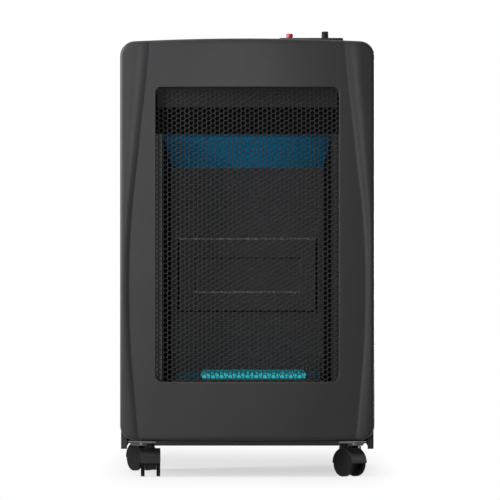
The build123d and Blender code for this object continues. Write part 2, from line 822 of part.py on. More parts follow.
# ---- gas pipes from the tap to the injector and to the pilot ----------------------------------------
tap_side_x = knob_x + tap_width / 2
feed_end_x = injector_x + injector_nose + injector_length
feed_pipe_x = inner_half - feed_pipe_inset
with BuildPart() as gas_feed_pipe:
    feed_route = [
        (tap_side_x, deck_y, tap_z),
        (feed_pipe_x, deck_y, tap_z),
        (feed_pipe_x, burner_y, tap_z),
        (feed_pipe_x, burner_y, burner_axis_z),
        (feed_end_x, burner_y, burner_axis_z),
    ]
    add(bent_pipe(feed_route, feed_pipe_radius))
save(gas_feed_pipe, "gas_feed_pipe")

pilot_z = shelf_top + pilot_rise
pilot_pipe_x = inner_half - pilot_pipe_inset
pilot_pipe_start_y = deck_y - tap_depth / 3
pilot_pipe_start_z = tap_z + tap_height / 3
with BuildPart() as pilot_pipe:
    pilot_route = [
        (tap_side_x, pilot_pipe_start_y, pilot_pipe_start_z),
        (pilot_pipe_x, pilot_pipe_start_y, pilot_pipe_start_z),
        (pilot_pipe_x, pilot_pipe_y, pilot_pipe_start_z),
        (pilot_pipe_x, pilot_pipe_y, pilot_z),
        (pilot_x + pilot_head_half, pilot_pipe_y, pilot_z),
    ]
    add(bent_pipe(pilot_route, pilot_pipe_radius))
save(pilot_pipe, "pilot_pipe")

# ---- pilot burner, thermocouple and ignition electrode on one small bracket -------------------------
pilot_tab_z = burner_z + burner_height + sheet
pilot_rear_y = pilot_pipe_y + pilot_head_half
probe_y = pilot_pipe_y - probe_offset
pilot_tab_front = probe_y - electrode_radius - sheet
pilot_bracket_width = 2 * probe_spacing + 4 * electrode_radius
probe_foot = pilot_tab_z - sheet + seat_gap
with BuildPart() as pilot_burner:
    with BuildSketch(Plane.XY.offset(shelf_top)):
        with Locations((pilot_x, pilot_rear_y + sheet / 2)):
            Rectangle(pilot_bracket_width, sheet)
    extrude(amount=pilot_tab_z + sheet - shelf_top)
    with BuildSketch(Plane.XY.offset(pilot_tab_z)):
        with Locations((pilot_x, (pilot_rear_y + pilot_tab_front) / 2)):
            Rectangle(pilot_bracket_width, pilot_rear_y - pilot_tab_front)
        for probe_x, probe_radius in (
            (pilot_x + probe_spacing, thermocouple_radius),
            (pilot_x - probe_spacing, electrode_radius),
        ):
            hole_width = 2 * (probe_radius + running_gap)
            with Locations((probe_x, probe_y)):
                Rectangle(hole_width, hole_width, mode=Mode.SUBTRACT)
    extrude(amount=sheet)
    with BuildSketch(Plane.XY.offset(pilot_tab_z + sheet)):
        with Locations((pilot_x, pilot_pipe_y)):
            Rectangle(2 * pilot_head_half, 2 * pilot_head_half)
    extrude(amount=pilot_z + pilot_head_half - pilot_tab_z - sheet)
save(pilot_burner, "pilot_burner")

with BuildPart() as thermocouple:
    with BuildSketch(Plane.XY.offset(probe_foot)):
        with Locations((pilot_x + probe_spacing, probe_y)):
            Circle(thermocouple_radius)
    extrude(amount=thermocouple_length)
save(thermocouple, "thermocouple")

with BuildPart() as ignition_electrode:
    with BuildSketch(Plane.XY.offset(probe_foot)):
        with Locations((pilot_x - probe_spacing, probe_y)):
            Circle(electrode_radius)
    extrude(amount=electrode_length)
    with BuildSketch(Plane.XY.offset(probe_foot + electrode_length)):
        with Locations((pilot_x - probe_spacing, probe_y)):
            Circle(electrode_tip_radius)
    extrude(amount=electrode_tip)
save(ignition_electrode, "ignition_electrode")

# ---- knob ------------------------------------------------------------------------------------------
with BuildPart() as control_knob:
    with BuildSketch(Plane.XY.offset(skirt_z)):
        with Locations((knob_x, deck_y)):
            Circle(knob_radius)
    extrude(amount=knob_skirt)
    with BuildSketch(Plane.XY.offset(skirt_z + knob_skirt)):
        with Locations((knob_x, deck_y)):
            SlotOverall(knob_grip_length, knob_grip_width, rotation=90)
    extrude(amount=knob_grip_height)
    chamfer(control_knob.faces().sort_by(Axis.Z)[-1].edges(), knob_edge)
    with BuildSketch(Plane.XY.offset(skirt_z)):
        with Locations((knob_x, deck_y)):
            Circle(spindle_radius + running_gap)
    extrude(amount=spindle_top + seat_gap - skirt_z, mode=Mode.SUBTRACT)
save(control_knob, "control_knob")

with BuildPart() as knob_thrust_washer:
    with BuildSketch(Plane.XY.offset(skirt_z - seat_gap + running_gap - washer_thickness)):
        with Locations((knob_x, deck_y)):
            Circle(washer_radius)
            Circle(spindle_radius + seat_gap, mode=Mode.SUBTRACT)
    extrude(amount=washer_thickness)
save(knob_thrust_washer, "knob_thrust_washer")

# ---- igniter ---------------------------------------------------------------------------------------
button_top = deck_top + button_above_deck
button_bottom = button_top - button_length
button_radius = igniter_barrel_radius - igniter_wall - seat_gap
with BuildPart() as igniter_body:
    with BuildSketch(Plane.XY.offset(deck_top - igniter_flange_height)):
        with Locations((igniter_x, deck_y)):
            Circle(igniter_flange_radius)
    extrude(amount=igniter_flange_height)
    with BuildSketch(Plane.XY.offset(deck_top)):
        with Locations((igniter_x, deck_y)):
            Circle(igniter_barrel_radius)
    extrude(amount=-igniter_barrel_length)
    with Locations((igniter_x, deck_y, deck_top)):
        Hole(
            button_radius + seat_gap,
            depth=deck_top - button_bottom + button_travel + seat_gap,
        )
    with Locations((igniter_x, deck_y, deck_top - igniter_barrel_length - terminal_length)):
        Box(terminal_width, sheet, 2 * terminal_length)
save(igniter_body, "igniter_body")

with BuildPart() as igniter_nut:
    with BuildSketch(Plane.XY.offset(deck_top - deck_wall)):
        with Locations((igniter_x, deck_y)):
            RegularPolygon(igniter_barrel_radius + nut_wall, 6, major_radius=False)
            Circle(igniter_barrel_radius + running_gap, mode=Mode.SUBTRACT)
    extrude(amount=-nut_height)
save(igniter_nut, "igniter_nut")

with BuildPart() as igniter_button:
    with BuildSketch(Plane.XY.offset(button_bottom)):
        with Locations((igniter_x, deck_y)):
            Circle(button_radius)
    extrude(amount=button_length)
save(igniter_button, "igniter_button")

# ---- rear crossbar with the catch that the cover hooks over ------------------------------------------
hem_bottom = cover_top - cover_sheet - hem_drop
catch_ledge = hem_bottom - catch_gap
catch_half = hem_half - catch_margin
crossbar_y = rear_y - sheet
with BuildPart() as rear_crossbar:
    with BuildSketch(Plane.YZ.offset(-(inner_half - crossbar_end_gap))):
        with BuildLine():
            Polyline(
                (crossbar_y - crossbar_flange, catch_ledge - crossbar_height),
                (crossbar_y, catch_ledge - crossbar_height),
                (crossbar_y, catch_ledge),
                (crossbar_y - sheet, catch_ledge),
                (crossbar_y - sheet, catch_ledge - crossbar_height + sheet),
                (crossbar_y - crossbar_flange, catch_ledge - crossbar_height + sheet),
                close=True,
            )
        make_face()
    extrude(amount=2 * (inner_half - crossbar_end_gap))
    with BuildSketch(Plane.YZ.offset(-catch_half)):
        with BuildLine():
            Polyline(
                (crossbar_y - sheet, catch_ledge - sheet),
                (rear_y + catch_stand_off + sheet, catch_ledge - sheet),
                (rear_y + catch_stand_off + sheet, catch_ledge + catch_height),
                (rear_y + catch_stand_off, catch_ledge + catch_height),
                (rear_y + catch_stand_off, catch_ledge),
                (crossbar_y - sheet, catch_ledge),
                close=True,
            )
        make_face()
    extrude(amount=2 * catch_half)
save(rear_crossbar, "rear_crossbar")

# ---- rear cover: shallow pan with a J hem, two foot tabs and louvres ---------------------------------
louvre_column_spacing = louvre_length + louvre_column_gap
louvre_groups = (cover_foot + louvre_foot_margin, cover_top - louvre_head_margin)
with BuildPart() as rear_cover:
    with BuildSketch(plane_at_y(cover_y)):
        with Locations((0, (cover_foot + cover_top) / 2)):
            Rectangle(2 * cover_half, cover_top - cover_foot)
    extrude(amount=-cover_depth)
    with BuildSketch(plane_at_y(cover_y)):
        with Locations((0, (cover_foot + cover_top) / 2)):
            Rectangle(2 * (cover_half - cover_sheet), cover_top - cover_foot - 2 * cover_sheet)
    extrude(amount=cover_sheet - cover_depth, mode=Mode.SUBTRACT)
    with BuildSketch(plane_at_y(cover_y)):
        with Locations((0, (hem_bottom + cover_top) / 2)):
            Rectangle(2 * hem_half, cover_top - hem_bottom)
    extrude(amount=-cover_sheet)
    with BuildSketch(plane_at_y(tab_y)):
        with Locations((-tab_x, cover_foot - tab_length / 2), (tab_x, cover_foot - tab_length / 2)):
            Rectangle(tab_width, tab_length)
    extrude(amount=-cover_sheet)
    for group_z in louvre_groups:
        for row in range(louvre_rows):
            slot_z = group_z + row * louvre_pitch
            with BuildSketch(plane_at_y(cover_skin_y)):
                with Locations((0, slot_z + louvre_slot / 2)):
                    with GridLocations(louvre_column_spacing, 1, louvre_columns, 1):
                        Rectangle(louvre_length, louvre_slot)
            extrude(amount=cover_sheet, mode=Mode.SUBTRACT)
            for column in range(louvre_columns):
                column_x = (column - (louvre_columns - 1) / 2) * louvre_column_spacing
                with BuildSketch(Plane.YZ.offset(column_x - louvre_length / 2)):
                    with BuildLine():
                        Polyline(
                            (cover_skin_y, slot_z + louvre_slot),
                            (cover_skin_y, slot_z + 1.5 * louvre_slot),
                            (cover_skin_y + louvre_proud, slot_z + cover_sheet),
                            (cover_skin_y + louvre_proud - cover_sheet, slot_z + cover_sheet),
                            close=True,
                        )
                    make_face()
                extrude(amount=louvre_length)
save(rear_cover, "rear_cover")

# ---- caster rails under the base -----------------------------------------------------------------
caster_y = body_depth / 2 - caster_end_inset
rail_half_length = body_width / 2 - rail_end_inset
rail_width = caster_plate_size + 2 * rail_margin
for end, rail_y, leg_side in (("front", -caster_y, 1), ("rear", caster_y, -1)):
    leg_y = rail_y + leg_side * (rail_width - rail_thickness) / 2
    with BuildPart() as caster_rail:
        with BuildSketch(Plane.XY.offset(caster_height)):
            with Locations((0, rail_y)):
                Rectangle(2 * rail_half_length, rail_width)
        extrude(amount=rail_thickness)
        with BuildSketch(Plane.XZ.offset(-leg_y - rail_thickness / 2)):
            with BuildLine():
                Polyline(
                    (-rail_half_length, caster_height),
                    (rail_half_length, caster_height),
                    (rail_half_length - rail_corner / 3, caster_height - rail_leg + rail_corner),
                    (rail_half_length - rail_corner, caster_height - rail_leg),
                    (-rail_half_length + rail_corner, caster_height - rail_leg),
                    (-rail_half_length + rail_corner / 3, caster_height - rail_leg + rail_corner),
                    close=True,
                )
            make_face()
        extrude(amount=rail_thickness)
    save(caster_rail, f"caster_rail_{end}")

# ---- casters ---------------------------------------------------------------------------------------
front_caster_x = body_width / 2 - front_caster_inset
rear_caster_x = body_width / 2 - rear_caster_inset
caster_places = {
    "front_left": (-front_caster_x, -caster_y),
    "front_right": (front_caster_x, -caster_y),
    "rear_left": (-rear_caster_x, caster_y),
    "rear_right": (rear_caster_x, caster_y),
}
for place, (stem_x, stem_y) in caster_places.items():
    heading = math.radians(caster_headings[place])
    trail_way = (math.cos(heading), math.sin(heading), 0)
    axle_way = (math.sin(heading), -math.cos(heading), 0)
    side_plane = Plane(origin=(stem_x, stem_y, 0), x_dir=trail_way, z_dir=axle_way)

    with BuildPart() as caster_plate:
        with BuildSketch(Plane.XY.offset(caster_plate_z)):
            with Locations((stem_x, stem_y)):
                Rectangle(caster_plate_size, caster_plate_size)
        extrude(amount=caster_plate_thickness)
        chamfer(caster_plate.edges().filter_by(Axis.Z), caster_plate_corner)
        with Locations((stem_x, stem_y, caster_height)):
            Hole(stem_radius + running_gap, depth=caster_plate_thickness)
    save(caster_plate, f"caster_plate_{place}")

    with BuildPart() as caster_hood:
        with BuildSketch(side_plane.offset(-hood_half)):
            with Locations((caster_trail, wheel_radius)):
                Circle(hood_outer)
                Circle(hood_inner, mode=Mode.SUBTRACT)
            with Locations((caster_trail, wheel_radius - hood_outer / 2)):
                Rectangle(2 * hood_outer, hood_outer, mode=Mode.SUBTRACT)
        extrude(amount=2 * hood_half)
        with BuildSketch(side_plane.offset(-web_half)):
            with Locations((caster_trail, wheel_radius)):
                Circle(hood_inner + hood_wall / 2)
            with Locations((caster_trail, wheel_radius - hood_outer / 2)):
                Rectangle(2 * hood_outer, hood_outer, mode=Mode.SUBTRACT)
            with Locations((caster_trail, wheel_radius)):
                RegularPolygon(hub_radius, 8, rotation=22.5, major_radius=False)
                Circle(axle_radius + running_gap, mode=Mode.SUBTRACT)
        extrude(amount=2 * web_half)
        with BuildSketch(Plane.XY.offset(wheel_radius + stem_radius)):
            with Locations((stem_x, stem_y)):
                Circle(stem_radius)
        extrude(amount=caster_height - seat_gap - wheel_radius - stem_radius)
    save(caster_hood, f"caster_hood_{place}")

    with BuildPart() as caster_axle:
        with BuildSketch(side_plane.offset(-axle_half)):
            with Locations((caster_trail, wheel_radius)):
                Circle(axle_radius)
        extrude(amount=2 * axle_half)
    save(caster_axle, f"caster_axle_{place}")

    for side_name, side in (("a", 1), ("b", -1)):
        inner_face = side * (web_half + hood_clearance)
        bore_depth = side * (axle_half + seat_gap) - inner_face
        with BuildPart() as caster_wheel:
            with BuildSketch(side_plane.offset(inner_face)):
                with Locations((caster_trail, wheel_radius)):
                    Circle(wheel_radius)
            extrude(amount=side * wheel_width)
            with BuildSketch(side_plane.offset(inner_face)):
                with Locations((caster_trail, wheel_radius)):
                    Circle(axle_radius + running_gap)
            extrude(amount=bore_depth, mode=Mode.SUBTRACT)
        save(caster_wheel, f"wheel_{place}_{side_name}")

# ---- fasteners: hexagonal heads, each group in one file ---------------------------------------------
head_radius = bolt_across_flats / 2
caster_bolt_spacing = caster_plate_size - 2 * caster_bolt_inset
with BuildPart() as caster_bolts:
    for stem_x, stem_y in caster_places.values():
        with BuildSketch(Plane.XY.offset(caster_plate_z)):
            with Locations((stem_x, stem_y)):
                with GridLocations(caster_bolt_spacing, caster_bolt_spacing, 2, 2):
                    RegularPolygon(head_radius, 6, major_radius=False)
        extrude(amount=-bolt_head_height)
save(caster_bolts, "caster_bolts")

panel_screw_x = body_width / 2 - side_flange + panel_screw_radius + seat_gap
panel_screw_low = panel_bottom + panel_screw_margin
panel_screw_high = side_top - panel_screw_margin
with BuildPart() as front_panel_screws:
    with BuildSketch(plane_at_y(panel_back_y + sheet)):
        with Locations((0, (panel_screw_low + panel_screw_high) / 2)):
            with GridLocations(
                2 * panel_screw_x,
                (panel_screw_high - panel_screw_low) / (panel_screw_rows - 1),
                2,
                panel_screw_rows,
            ):
                RegularPolygon(panel_screw_radius, 6)
    extrude(amount=-bolt_head_height)
save(front_panel_screws, "front_panel_screws")

shield_screw_x = firebox_back_half + firebox_flange / 2
with BuildPart() as shield_screws:
    with BuildSketch(plane_at_y(shield_y + sheet)):
        with Locations((0, (shelf_top + firebox_top) / 2)):
            with GridLocations(
                2 * shield_screw_x,
                (firebox_top - shelf_top) / shield_screw_rows,
                2,
                shield_screw_rows,
            ):
                RegularPolygon(head_radius, 6, major_radius=False)
    extrude(amount=-bolt_head_height)
save(shield_screws, "shield_screws")
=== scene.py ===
import bpy
import json
import math
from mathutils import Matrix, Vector


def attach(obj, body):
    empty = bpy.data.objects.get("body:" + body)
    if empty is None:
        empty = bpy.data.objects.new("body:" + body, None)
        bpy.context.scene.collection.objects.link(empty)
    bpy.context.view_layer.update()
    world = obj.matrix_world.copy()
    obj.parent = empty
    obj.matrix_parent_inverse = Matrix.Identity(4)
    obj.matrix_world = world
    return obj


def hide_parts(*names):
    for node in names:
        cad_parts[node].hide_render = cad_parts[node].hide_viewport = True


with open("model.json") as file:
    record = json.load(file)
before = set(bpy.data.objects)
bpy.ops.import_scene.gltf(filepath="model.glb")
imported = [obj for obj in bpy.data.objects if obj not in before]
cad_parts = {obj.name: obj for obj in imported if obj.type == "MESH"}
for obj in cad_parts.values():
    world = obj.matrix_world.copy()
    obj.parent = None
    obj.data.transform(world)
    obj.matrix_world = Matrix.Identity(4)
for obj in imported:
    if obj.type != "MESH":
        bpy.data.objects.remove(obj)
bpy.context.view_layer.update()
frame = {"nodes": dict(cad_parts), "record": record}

MM = 0.001  # the pieces below are drawn in millimetres
scene = bpy.context.scene
scene.view_settings.view_transform = "Standard"


# ---- camera: level, from far away, square on to the front ---------------------------------------
CAMERA_PLACE = (0.0045, -12.0, 0.3775)
CAMERA_LENS = 511.2
CAMERA_SENSOR = 36.0
camera_data = bpy.data.cameras.new("camera")
camera_data.sensor_width = CAMERA_SENSOR
camera_data.lens = CAMERA_LENS
camera_data.clip_end = 100.0
camera = bpy.data.objects.new("camera", camera_data)
camera.location = CAMERA_PLACE
camera.rotation_euler = (math.radians(90), 0, 0)
scene.collection.objects.link(camera)
scene.camera = camera


# ---- node helpers --------------------------------------------------------------------------------
X, Y, Z = 0, 1, 2
MIX_SHARE, MIX_FROM, MIX_TO, MIX_RESULT = 0, 6, 7, 2  # the colour sockets of a mix node


class Finish:
    """A Principled material with helpers that add procedural detail to it."""

    def __init__(self, name, rgb, rough, metal=0.0, spec=0.5):
        self.mat = bpy.data.materials.new(name)
        self.mat.use_nodes = True
        self.nodes = self.mat.node_tree.nodes
        self.links = self.mat.node_tree.links
        self.bsdf = self.nodes["Principled BSDF"]
        self.bsdf.inputs["Base Color"].default_value = (*rgb, 1.0)
        self.bsdf.inputs["Roughness"].default_value = rough
        self.bsdf.inputs["Metallic"].default_value = metal
        self.bsdf.inputs["Specular IOR Level"].default_value = spec
        self.rgb = rgb
        self.coords = self.nodes.new("ShaderNodeTexCoord").outputs["Object"]

    def mapped(self, stretch):
        node = self.nodes.new("ShaderNodeMapping")
        node.inputs["Scale"].default_value = stretch
        self.links.new(self.coords, node.inputs["Vector"])
        return node.outputs["Vector"]

    def noise(self, scale, detail=3.0, stretch=None, distortion=0.0):
        node = self.nodes.new("ShaderNodeTexNoise")
        node.inputs["Scale"].default_value = scale
        node.inputs["Detail"].default_value = detail
        node.inputs["Distortion"].default_value = distortion
        vector = self.mapped(stretch) if stretch else self.coords
        self.links.new(vector, node.inputs["Vector"])
        return node.outputs["Fac"]

    def cells(self, scale):
        node = self.nodes.new("ShaderNodeTexVoronoi")
        node.inputs["Scale"].default_value = scale
        self.links.new(self.coords, node.inputs["Vector"])
        grey = self.nodes.new("ShaderNodeSeparateColor")
        self.links.new(node.outputs["Color"], grey.inputs["Color"])
        return grey.outputs["Red"]

    def axis(self, index):
        """The place along an axis, in metres."""
        node = self.nodes.new("ShaderNodeSeparateXYZ")
        self.links.new(self.coords, node.inputs["Vector"])
        return node.outputs[index]

    def facing(self, index):
        """Component of the surface's direction along an axis."""
        surface = self.nodes.new("ShaderNodeNewGeometry")
        split = self.nodes.new("ShaderNodeSeparateXYZ")
        self.links.new(surface.outputs["Normal"], split.inputs["Vector"])
        return split.outputs[index]

    def span(self, value, low, high, out_low=0.0, out_high=1.0):
        """A value that runs from low to high, as one that runs from out_low to out_high."""
        node = self.nodes.new("ShaderNodeMapRange")
        node.inputs["From Min"].default_value = low
        node.inputs["From Max"].default_value = high
        node.inputs["To Min"].default_value = out_low
        node.inputs["To Max"].default_value = out_high
        self.links.new(value, node.inputs["Value"])
        return node.outputs["Result"]

    def maths(self, operation, a, b):
        node = self.nodes.new("ShaderNodeMath")
        node.operation = operation
        for socket, value in zip(node.inputs, (a, b)):
            if isinstance(value, float):
                socket.default_value = value
            else:
                self.links.new(value, socket)
        return node.outputs["Value"]

    def ramp(self, value, *stops):
        node = self.nodes.new("ShaderNodeValToRGB")
        elements = node.color_ramp.elements
        while len(elements) < len(stops):
            elements.new(0.5)
        for element, (place, rgb) in zip(elements, stops):
            element.position = place
            element.color = (*rgb, 1.0)
        self.links.new(value, node.inputs["Fac"])
        return node.outputs["Color"]

    def mixed(self, share, colour, rgb):
        """A colour that turns into a plain one with the share."""
        node = self.nodes.new("ShaderNodeMix")
        node.data_type = "RGBA"
        self.links.new(share, node.inputs[MIX_SHARE])
        self.links.new(colour, node.inputs[MIX_FROM])
        node.inputs[MIX_TO].default_value = (*rgb, 1.0)
        return node.outputs[MIX_RESULT]

    def shades(self, value, amount, low=0.35, high=0.65):
        """The base colour, darker and lighter by a share with the value."""
        dark = [c * (1 - amount) for c in self.rgb]
        light = [min(1.0, c * (1 + amount)) for c in self.rgb]
        return self.ramp(value, (low, dark), (high, light))

    def base(self, colour):
        self.links.new(colour, self.bsdf.inputs["Base Color"])

    def roughen(self, value, low, high):
        self.links.new(self.span(value, 0.3, 0.7, low, high), self.bsdf.inputs["Roughness"])

    def bump(self, value, depth, strength=1.0):
        node = self.nodes.new("ShaderNodeBump")
        node.inputs["Strength"].default_value = strength
        node.inputs["Distance"].default_value = depth
        self.links.new(value, node.inputs["Height"])
        self.links.new(node.outputs["Normal"], self.bsdf.inputs["Normal"])


def painted(name, rgb, rough, spec):
    """Powder coat: orange peel, faint mottling and uneven gloss."""
    f = Finish(name, rgb, rough, spec=spec)
    f.base(f.shades(f.noise(14.0, 4.0), 0.035))
    f.roughen(f.noise(75.0, 3.0), rough - 0.012, rough + 0.015)
    f.bump(f.noise(620.0, 2.0), 0.00005, 0.4)
    return f.mat


def moulded(name, rgb, rough, spec=0.4, depth=0.00004):
    """Moulded plastic: spark-eroded grain, slightly uneven gloss and scuffs."""
    f = Finish(name, rgb, rough, spec=spec)
    f.base(f.shades(f.noise(35.0, 5.0), 0.14))
    f.roughen(f.noise(120.0, 4.0), rough - 0.07, rough + 0.08)
    f.bump(f.noise(1500.0, 2.0), depth, 0.5)
    return f.mat


def rolled(name, rgb, rough, stretch, amount=0.12):
    """Rolled or drawn metal with fine lines along one direction."""
    f = Finish(name, rgb, rough, metal=1.0)
    lines = f.noise(240.0, 4.0, stretch)
    f.base(f.shades(f.noise(30.0, 5.0), amount))
    f.roughen(lines, rough - 0.08, rough + 0.12)
    f.bump(lines, 0.00002, 0.5)
    return f.mat


def spangled(name, rgb):
    """Zinc coating: a crystal pattern that changes gloss from grain to grain."""
    f = Finish(name, rgb, 0.42, metal=1.0)
    grains = f.cells(95.0)
    f.base(f.shades(grains, 0.12, 0.1, 0.9))
    f.links.new(f.span(grains, 0.0, 1.0, 0.34, 0.55), f.bsdf.inputs["Roughness"])
    f.bump(f.noise(420.0, 3.0), 0.00003, 0.4)
    return f.mat


def heat_coated(name, rgb, spec=0.12):
    """Matt heat-proof steel, greyer and sootier in patches and towards the top."""
    f = Finish(name, rgb, 0.62, spec=spec)
    patches = f.noise(22.0, 5.0, distortion=0.6)
    height = f.span(f.axis(Z), 0.14, 0.65)
    mix = f.maths("ADD", f.maths("MULTIPLY", patches, 0.75), f.maths("MULTIPLY", height, 0.25))
    f.base(f.shades(mix, 0.3, 0.3, 0.7))
    f.roughen(patches, 0.52, 0.72)
    f.bump(f.noise(380.0, 3.0), 0.00005, 0.5)
    return f.mat


def one_sided(name, rgb, side, plain_end, dark_end, soot_and_shade=(0.004, 0.004, 0.0045), metal=0.0):
    """Metal, plain at one depth or on one face and near black at the other: soot on the pilot pipe, soot
    and painted shade on the heat shield, painted shade on the firebox sides.
    """
    f = Finish(name, rgb, 0.6, metal=metal, spec=0.08)
    patches = f.noise(30.0, 4.0)
    metal_shades = f.shades(patches, 0.15, 0.3, 0.7)
    where = f.axis(Y) if side == "depth" else f.facing(Y)
    f.base(f.mixed(f.span(where, plain_end, dark_end), metal_shades, soot_and_shade))
    f.roughen(patches, 0.55, 0.7)
    f.bump(f.noise(380.0, 3.0), 0.00005, 0.5)
    return f.mat


def pressed(name, rgb):
    """Heat-proof steel with painted light on its pressed forms: a painted highlight on the upper slopes
    and painted shade on the side and lower slopes.
    """
    f = Finish(name, rgb, 0.62, spec=0.12)
    patches = f.noise(22.0, 5.0, distortion=0.6)
    sheet = f.shades(patches, 0.15, 0.3, 0.7)
    # painted highlight on upward slopes, stronger towards the left, where the lamps reach the back wall
    # less
    upward = f.span(f.facing(Z), 0.25, 0.6)
    leftward = f.span(f.axis(X), -0.11, 0.03, 1.0, 0.4)
    painted_highlight = f.mixed(f.maths("MULTIPLY", upward, leftward), sheet, (0.55, 0.55, 0.56))
    # painted shade on the sideways slopes of the outer form
    sideways = f.span(f.maths("ABSOLUTE", f.facing(X), 0.0), 0.25, 0.6)
    outer_form = f.span(f.maths("ABSOLUTE", f.axis(X), 0.0), 0.1, 0.105)
    painted_side_shade = f.mixed(f.maths("MULTIPLY", sideways, outer_form), painted_highlight, (0.004, 0.004, 0.005))
    # painted shade on downward slopes: full low down, half as strong higher up
    downward = f.span(f.facing(Z), -0.25, -0.6)
    low = f.span(f.axis(Z), 0.30, 0.34, 1.0, 0.5)
    f.base(f.mixed(f.maths("MULTIPLY", downward, low), painted_side_shade, (0.003, 0.006, 0.009)))
    f.roughen(patches, 0.52, 0.72)
    f.bump(f.noise(380.0, 3.0), 0.00005, 0.5)
    return f.mat


def flame_glow_painted(name):
    """Steel with the flames' glow painted on it: bright blue that darkens to both ends, and painted shade
    along the top edge.
    """
    glow_blue = (0.004, 0.28, 0.56)
    f = Finish(name, glow_blue, 0.4, metal=0.15, spec=0.1)
    along = f.maths("ABSOLUTE", f.axis(X), 0.0)
    wander = f.maths("MULTIPLY", f.noise(11.0, 3.0), 0.5)
    place = f.maths("ADD", f.span(along, 0.0, 0.16, -0.25, 0.75), wander)
    colour = f.ramp(
        place,
        (0.0, glow_blue),
        (0.45, (0.004, 0.24, 0.48)),
        (0.75, (0.006, 0.15, 0.30)),
        (1.0, (0.03, 0.05, 0.12)),
    )
    # painted shade along the top edge, where the lamps light its front edge
    dark_end = f.span(f.axis(Z), 0.5645, 0.5705)
    f.base(f.mixed(dark_end, colour, (0.004, 0.005, 0.006)))
    f.roughen(f.noise(60.0, 4.0, (1.0, 8.0, 1.0)), 0.3, 0.48)
    f.bump(f.noise(260.0, 3.0, (1.0, 12.0, 1.0)), 0.00003, 0.4)
    return f.mat


def hot_steel(name):
    """Stainless burner steel with straw and brown heat tints near the flames."""
    f = Finish(name, (0.05, 0.049, 0.047), 0.55, metal=1.0)
    height = f.span(f.axis(Z), 0.146, 0.162, 0.0, 0.7)
    tint = f.maths("ADD", height, f.maths("MULTIPLY", f.noise(40.0, 4.0), 0.4))
    colour = f.ramp(
        tint,
        (0.1, (0.06, 0.059, 0.058)),
        (0.6, (0.05, 0.04, 0.028)),
        (0.85, (0.03, 0.02, 0.018)),
        (1.0, (0.015, 0.015, 0.025)),
    )
    f.base(colour)
    f.roughen(f.noise(150.0, 3.0), 0.3, 0.46)
    f.bump(f.noise(500.0, 3.0), 0.00002, 0.4)
    return f.mat


def glazed(name, rgb):
    """Glazed ceramic with fine speckles."""
    f = Finish(name, rgb, 0.3, spec=0.2)
    f.base(f.shades(f.noise(600.0, 3.0), 0.08, 0.45, 0.55))
    f.bump(f.noise(180.0, 2.0), 0.00003, 0.3)
    return f.mat


finish = {
    "anthracite_paint": painted("anthracite_paint", (0.034, 0.034, 0.0357), 0.32, 0.13),
    "guard_paint": painted("guard_paint", (0.026, 0.026, 0.0272), 0.42, 0.08),
    "sooted_steel": heat_coated("sooted_steel", (0.010, 0.010, 0.011), spec=0.03),
    "firebox_steel": heat_coated("firebox_steel", (0.052, 0.053, 0.055)),
    "blued_steel": flame_glow_painted("blued_steel"),
    "burner_steel": hot_steel("burner_steel"),
    "brass": rolled("brass", (0.66, 0.47, 0.2), 0.3, (1.0, 1.0, 14.0), 0.16),
    "pipe_aluminium": rolled("pipe_aluminium", (0.62, 0.63, 0.65), 0.34, (1.0, 1.0, 1.0)),
    "copper": rolled("copper", (0.07, 0.042, 0.03), 0.55, (1.0, 1.0, 6.0), 0.18),
    "ceramic": glazed("ceramic", (0.07, 0.066, 0.06)),
    "black_plastic": moulded("black_plastic", (0.012, 0.012, 0.013), 0.5, 0.15),
    "red_plastic": moulded("red_plastic", (0.50, 0.012, 0.012), 0.3, 0.5, 0.00002),
    "white_plastic": moulded("white_plastic", (0.78, 0.78, 0.75), 0.4),
    "zinc_steel": spangled("zinc_steel", (0.16, 0.163, 0.168)),
    "caster_plastic": moulded("caster_plastic", (0.011, 0.011, 0.0115), 0.42, 0.16),
    "wheel_plastic": moulded("wheel_plastic", (0.007, 0.007, 0.0075), 0.5, 0.06),
}
slot_of = {s["node"]: s["material_slot"] for s in frame["record"]["subparts"]}


def dress(obj, material):
    obj.data.materials.clear()
    obj.data.materials.append(material)


SAME_POINT = 0.000002
SHARP_ANGLE = 32.0
PLAIN_EDGE = 0.00035  # metres, as are the widths below


def soften(obj, width):
    """Round the edges of a carried-over solid with modifiers."""
    weld = obj.modifiers.new("weld", "WELD")
    weld.merge_threshold = SAME_POINT
    bevel = obj.modifiers.new("edges", "BEVEL")
    bevel.width = width
    bevel.segments = 2
    bevel.limit_method = "ANGLE"
    bevel.angle_limit = math.radians(SHARP_ANGLE)
    shade = obj.modifiers.new("shade", "WEIGHTED_NORMAL")
    shade.keep_sharp = False


